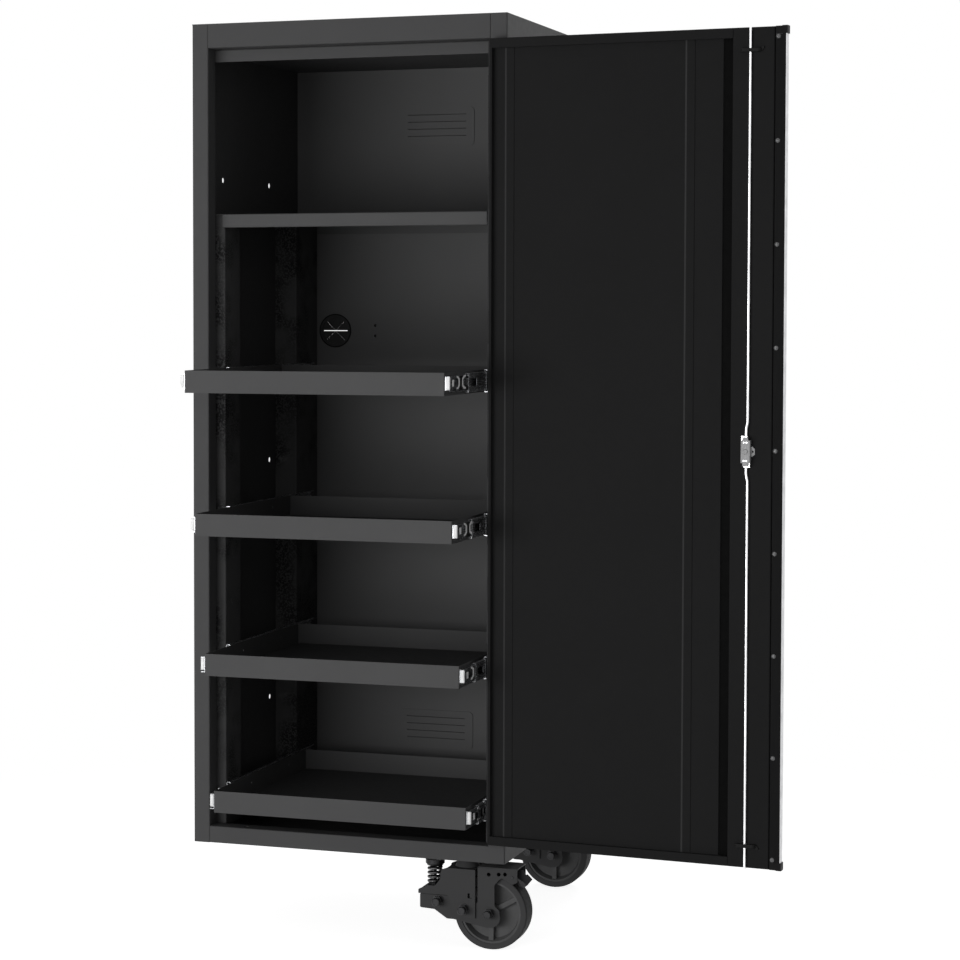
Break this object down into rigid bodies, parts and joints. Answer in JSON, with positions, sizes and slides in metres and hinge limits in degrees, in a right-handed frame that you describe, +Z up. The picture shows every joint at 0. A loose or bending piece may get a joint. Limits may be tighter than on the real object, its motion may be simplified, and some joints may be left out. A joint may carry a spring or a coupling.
{
  "type": "tool chest side locker",
  "caption": "Tall steel side locker with a full-height door, pull-out trays, a fixed shelf and sprung swivel casters under its free side.",
  "frame": {"origin": "centre of the chest-side bolt pattern, on the outer face of the left side panel", "axes": "+X from the chest side towards the free side, +Y from the door towards the rear, +Z up"},
  "size_m": [1.122, 0.8303, 1.7052],
  "materials": {
    "shell_paint": "black powder coat, satin",
    "inner_paint": "black powder coat, satin",
    "tray_paint": "black powder coat, satin",
    "door_paint": "black powder coat, satin",
    "pull_aluminium": "brushed, clear anodised",
    "screw_zinc": "bright zinc",
    "cap_plastic": "grey moulded",
    "hinge_steel": "black powder coat",
    "slide_zinc": "bright zinc",
    "latch_zinc": "zinc",
    "lock_chrome": "polished",
    "rod_zinc": "bright zinc wire",
    "guide_plastic": "black nylon",
    "grommet_rubber": "black",
    "caster_steel": "black powder coat",
    "brake_steel": "black powder coat",
    "bolt_black": "black oxide",
    "spring_steel": "black oxide wire",
    "wheel_centre": "grey-black paint",
    "wheel_tread": "dark polyurethane"
  },
  "bodies": {
    "cabinet": {"left_side_panel": "shell_paint", "right_side_panel": "shell_paint", "top_panel": "shell_paint", "header_rail": "shell_paint", "door_stop": "shell_paint", "sill_rail": "shell_paint", "base_pan": "shell_paint", "rear_wall": "inner_paint", "cable_grommet": "grommet_rubber", "fixed_shelf": "inner_paint", "slide_uprights_left": "inner_paint", "slide_uprights_right": "inner_paint", "outer_slides": "slide_zinc", "hinge_frame_leaf": "hinge_steel", "hinge_pin": "hinge_steel", "caster_top_plates": "caster_steel", "caster_kingpins": "bolt_black", "caster_mount_bolts": "bolt_black"},
    "door": {"door_outer_skin": "door_paint", "door_inner_panel": "door_paint", "door_latch_stile": "door_paint", "door_pull": "pull_aluminium", "door_pull_screws": "screw_zinc", "door_pull_caps": "cap_plastic", "hinge_door_leaf": "hinge_steel", "lock_body": "screw_zinc", "latch_housing": "latch_zinc", "rod_guides": "guide_plastic"},
    "lock_spindle": {"latch_pinion": "latch_zinc", "lock_plug": "lock_chrome"},
    "upper_rod": {"upper_lock_rod": "rod_zinc"},
    "lower_rod": {"lower_lock_rod": "rod_zinc"},
    "tray_1": {"tray_1": "tray_paint", "tray_1_inner_slides": "slide_zinc"},
    "tray_1_runners": {"tray_1_middle_slides": "slide_zinc"},
    "tray_2": {"tray_2": "tray_paint", "tray_2_inner_slides": "slide_zinc"},
    "tray_2_runners": {"tray_2_middle_slides": "slide_zinc"},
    "tray_3": {"tray_3": "tray_paint", "tray_3_inner_slides": "slide_zinc"},
    "tray_3_runners": {"tray_3_middle_slides": "slide_zinc"},
    "tray_4": {"tray_4": "tray_paint", "tray_4_inner_slides": "slide_zinc"},
    "tray_4_runners": {"tray_4_middle_slides": "slide_zinc"},
    "front_caster_fork": {"front_caster_fork": "caster_steel", "front_caster_pivot_studs": "bolt_black"},
    "front_caster_arm": {"front_caster_arm": "caster_steel", "front_caster_arm_bolts": "bolt_black", "front_caster_spring": "spring_steel"},
    "front_wheel": {"front_wheel_rim": "wheel_centre", "front_wheel_tyre": "wheel_tread"},
    "front_brake": {"front_brake_lever": "brake_steel"},
    "rear_caster_fork": {"rear_caster_fork": "caster_steel", "rear_caster_pivot_studs": "bolt_black"},
    "rear_caster_arm": {"rear_caster_arm": "caster_steel", "rear_caster_arm_bolts": "bolt_black", "rear_caster_spring": "spring_steel"},
    "rear_wheel": {"rear_wheel_rim": "wheel_centre", "rear_wheel_tyre": "wheel_tread"},
    "rear_brake": {"rear_brake_lever": "brake_steel"}
  },
  "joints": [
    {"name": "door_hinge", "type": "hinge", "parent": "cabinet", "child": "door", "pos_m": [0.5799, -0.2739, 0.024], "axis": [0, 0, 1], "range_deg": [-86.4, 3.6]},
    {"name": "upper_rod_slide", "type": "slide", "parent": "door", "child": "upper_rod", "axis": [0, 0, 1], "range_m": [0, 0.00801]},
    {"name": "lower_rod_slide", "type": "slide", "parent": "door", "child": "lower_rod", "axis": [0, 0, -1], "range_m": [-0.0001, 0.00811]},
    {"name": "lock_turn", "type": "hinge", "parent": "door", "child": "lock_spindle", "pos_m": [1.05526, -0.32124, 0.025], "axis": [0.0628, 0.998, 0], "range_deg": [-0.5, 90.5]},
    {"name": "tray_1_runner_slide", "type": "slide", "parent": "cabinet", "child": "tray_1_runners", "axis": [0, -1, 0], "range_m": [-0.11565, 0.11385]},
    {"name": "tray_1_slide", "type": "slide", "parent": "cabinet", "child": "tray_1", "axis": [0, -1, 0], "range_m": [-0.2303, 0.2267]},
    {"name": "tray_2_runner_slide", "type": "slide", "parent": "cabinet", "child": "tray_2_runners", "axis": [0, -1, 0], "range_m": [-0.09295, 0.13655]},
    {"name": "tray_2_slide", "type": "slide", "parent": "cabinet", "child": "tray_2", "axis": [0, -1, 0], "range_m": [-0.1849, 0.2721]},
    {"name": "tray_3_runner_slide", "type": "slide", "parent": "cabinet", "child": "tray_3_runners", "axis": [0, -1, 0], "range_m": [-0.07035, 0.15915]},
    {"name": "tray_3_slide", "type": "slide", "parent": "cabinet", "child": "tray_3", "axis": [0, -1, 0], "range_m": [-0.1397, 0.3173]},
    {"name": "tray_4_runner_slide", "type": "slide", "parent": "cabinet", "child": "tray_4_runners", "axis": [0, -1, 0], "range_m": [-0.04895, 0.18055]},
    {"name": "tray_4_slide", "type": "slide", "parent": "cabinet", "child": "tray_4", "axis": [0, -1, 0], "range_m": [-0.0969, 0.3601]},
    {"name": "front_swivel", "type": "hinge", "parent": "cabinet", "child": "front_caster_fork", "pos_m": [0.5195, -0.202, -0.756], "axis": [0, 0, 1], "continuous": true},
    {"name": "front_suspension", "type": "hinge", "parent": "front_caster_fork", "child": "front_caster_arm", "pos_m": [0.522, -0.202, -0.832], "axis": [0, -1, 0], "range_deg": [0, 4], "stiffness_Nm_per_rad": 400, "springref_deg": -2.86, "deforming": ["front_caster_spring"]},
    {"name": "front_wheel_spin", "type": "hinge", "parent": "front_caster_arm", "child": "front_wheel", "pos_m": [0.5695, -0.202, -0.8372], "axis": [0, 1, 0], "continuous": true},
    {"name": "front_brake_press", "type": "hinge", "parent": "front_caster_arm", "child": "front_brake", "pos_m": [0.6125, -0.202, -0.768], "axis": [0, 1, 0], "range_deg": [0, 10]},
    {"name": "rear_swivel", "type": "hinge", "parent": "cabinet", "child": "rear_caster_fork", "pos_m": [0.4945, 0.336, -0.756], "axis": [0, 0, 1], "continuous": true},
    {"name": "rear_suspension", "type": "hinge", "parent": "rear_caster_fork", "child": "rear_caster_arm", "pos_m": [0.497, 0.336, -0.832], "axis": [0, -1, 0], "range_deg": [0, 4], "stiffness_Nm_per_rad": 400, "springref_deg": -2.86, "deforming": ["rear_caster_spring"]},
    {"name": "rear_wheel_spin", "type": "hinge", "parent": "rear_caster_arm", "child": "rear_wheel", "pos_m": [0.5445, 0.336, -0.8372], "axis": [0, 1, 0], "continuous": true},
    {"name": "rear_brake_press", "type": "hinge", "parent": "rear_caster_arm", "child": "rear_brake", "pos_m": [0.5875, 0.336, -0.768], "axis": [0, 1, 0], "range_deg": [0, 10]}
  ],
  "couplings": [
    {"joint": "lower_rod_slide", "follows": "upper_rod_slide", "ratio": 1},
    {"joint": "lock_turn", "follows": "upper_rod_slide", "rad_per_m": 196.08},
    {"joint": "tray_1_runner_slide", "follows": "tray_1_slide", "ratio": 0.5},
    {"joint": "tray_2_runner_slide", "follows": "tray_2_slide", "ratio": 0.5},
    {"joint": "tray_3_runner_slide", "follows": "tray_3_slide", "ratio": 0.5},
    {"joint": "tray_4_runner_slide", "follows": "tray_4_slide", "ratio": 0.5}
  ]
}
